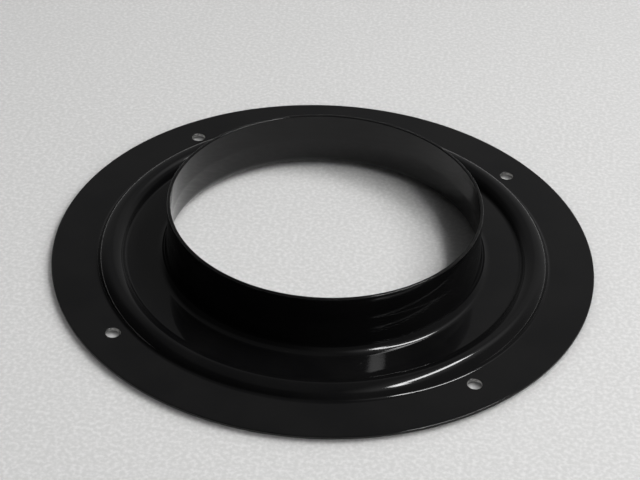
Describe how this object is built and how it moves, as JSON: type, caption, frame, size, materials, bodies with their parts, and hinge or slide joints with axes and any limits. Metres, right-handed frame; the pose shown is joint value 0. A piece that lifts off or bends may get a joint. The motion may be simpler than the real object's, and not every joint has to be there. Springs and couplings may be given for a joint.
{
  "type": "snoot mounting collar",
  "caption": "Pressed steel flange with a raised bead, screw holes around its edge and a short open collar, for fixing a snoot tube or sleeve.",
  "frame": {"origin": "centre of the opening at the level of the flange's flat underside", "axes": "+Z along the collar, away from the surface the flange is screwed to; the screw holes are at 45 degrees between +X and +Y"},
  "size_m": [0.25, 0.25, 0.0295],
  "materials": {
    "flange_enamel": "gloss black baked enamel",
    "collar_enamel": "gloss black baked enamel"
  },
  "bodies": {
    "root": {"pressed_flange": "flange_enamel", "collar_ring": "collar_enamel"}
  },
  "joints": []
}
